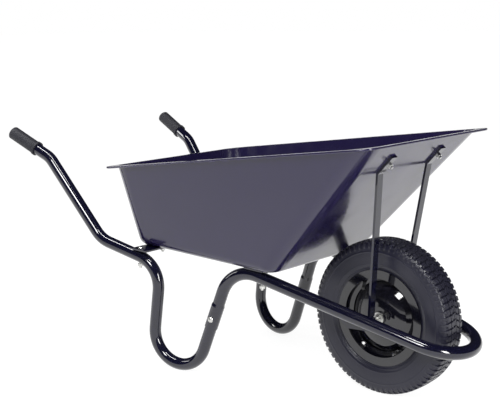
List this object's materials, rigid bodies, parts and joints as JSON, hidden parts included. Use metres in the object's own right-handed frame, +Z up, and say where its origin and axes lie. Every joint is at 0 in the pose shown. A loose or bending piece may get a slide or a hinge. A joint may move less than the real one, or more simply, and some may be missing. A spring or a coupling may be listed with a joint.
{
  "type": "wheelbarrow",
  "caption": "Builder's wheelbarrow with a deep pressed steel tray, bent tube frame with looped legs and nose guard, flat-bar stays and a pneumatic wheel.",
  "frame": {"origin": "on the ground, in the middle of the barrow's overall length and width", "axes": "+X forward towards the wheel, +Y to the left side of someone pushing, +Z up"},
  "size_m": [1.33, 0.6332, 0.6481],
  "materials": {
    "black_enamel": "gloss",
    "wheel_enamel": "gloss",
    "zinc_plate": "satin",
    "bearing_steel": "polished",
    "grip_rubber": "matte",
    "tyre_rubber": "satin",
    "tube_rubber": "satin",
    "cap_plastic": "matte"
  },
  "bodies": {
    "frame": {"tray": "black_enamel", "front_frame_tube": "black_enamel", "right_handle_tube": "black_enamel", "left_handle_tube": "black_enamel", "rear_strap": "black_enamel", "front_strap": "black_enamel", "right_stay": "black_enamel", "left_stay": "black_enamel", "right_axle_lug": "black_enamel", "left_axle_lug": "black_enamel", "axle": "zinc_plate", "axle_nuts": "zinc_plate", "hub_washers": "zinc_plate", "frame_bolts": "zinc_plate", "frame_nuts": "zinc_plate", "tray_bolts": "zinc_plate", "tray_nuts": "zinc_plate", "joint_bolts": "zinc_plate", "joint_nuts": "zinc_plate", "stay_bolts": "zinc_plate", "stay_nuts": "zinc_plate", "bearing_spacer": "bearing_steel", "right_bearing_inner_ring": "bearing_steel", "left_bearing_inner_ring": "bearing_steel", "right_grip": "grip_rubber", "left_grip": "grip_rubber"},
    "wheel": {"tyre": "tyre_rubber", "inner_tube": "tube_rubber", "wheel_rim": "wheel_enamel", "right_wheel_disc": "wheel_enamel", "left_wheel_disc": "wheel_enamel", "wheel_hub": "wheel_enamel", "right_bearing_outer_ring": "bearing_steel", "left_bearing_outer_ring": "bearing_steel", "right_bearing_balls": "bearing_steel", "left_bearing_balls": "bearing_steel", "valve_stem": "tube_rubber", "valve_cap": "cap_plastic"}
  },
  "joints": [
    {"name": "wheel_spin", "type": "hinge", "parent": "frame", "child": "wheel", "pos_m": [0.41462, 0, 0.195], "axis": [0, 1, 0], "continuous": true}
  ]
}
